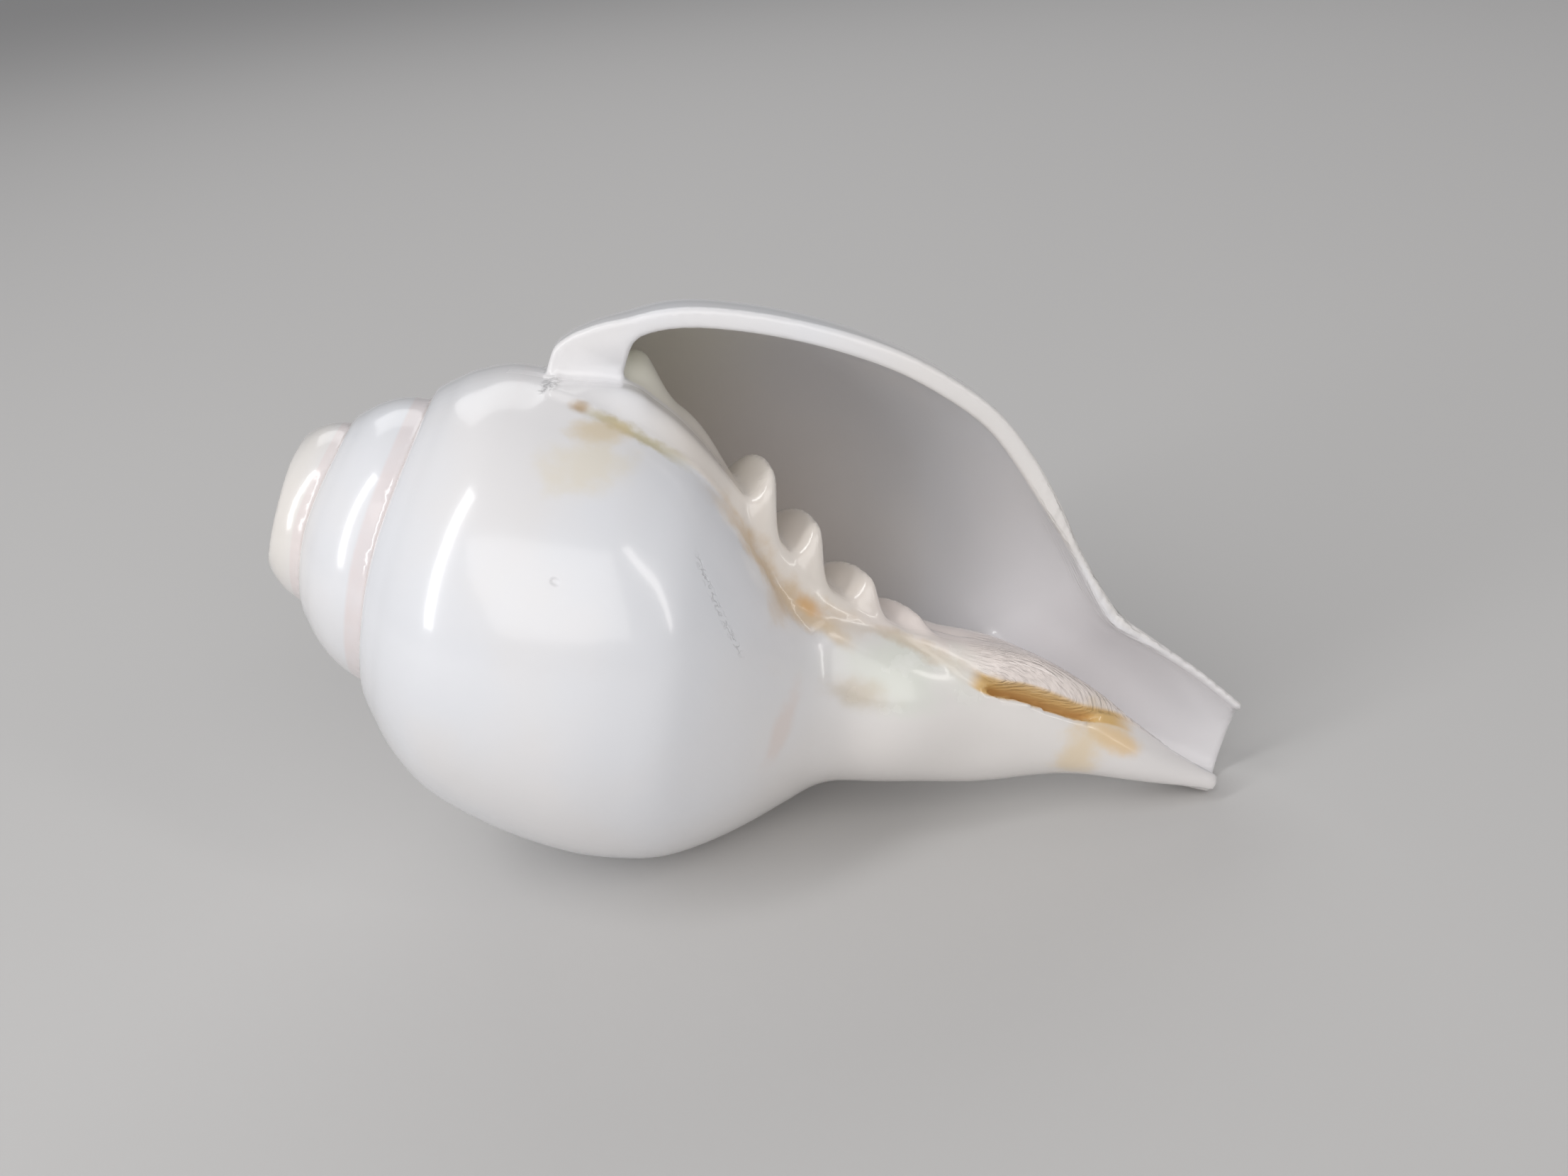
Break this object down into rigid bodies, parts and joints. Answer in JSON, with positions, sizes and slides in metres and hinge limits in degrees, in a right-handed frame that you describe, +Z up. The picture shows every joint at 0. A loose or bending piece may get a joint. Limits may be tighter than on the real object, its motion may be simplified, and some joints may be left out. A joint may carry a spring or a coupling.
{
  "type": "sacred chank shell",
  "caption": "Polished white sea-snail shell with a swollen body whorl, a ground spire tip, folds on the inner lip, a thick outer lip and an open spout-like canal.",
  "frame": {"origin": "middle of the bottom of the bounding box, on the surface that the shell rests on", "axes": "+X from the ground spire towards the canal, +Z up, the opening looks towards -Y"},
  "size_m": [0.1278, 0.0714, 0.0756],
  "materials": {
    "shell": "polished"
  },
  "bodies": {
    "root": {"shell": "shell"}
  },
  "joints": []
}
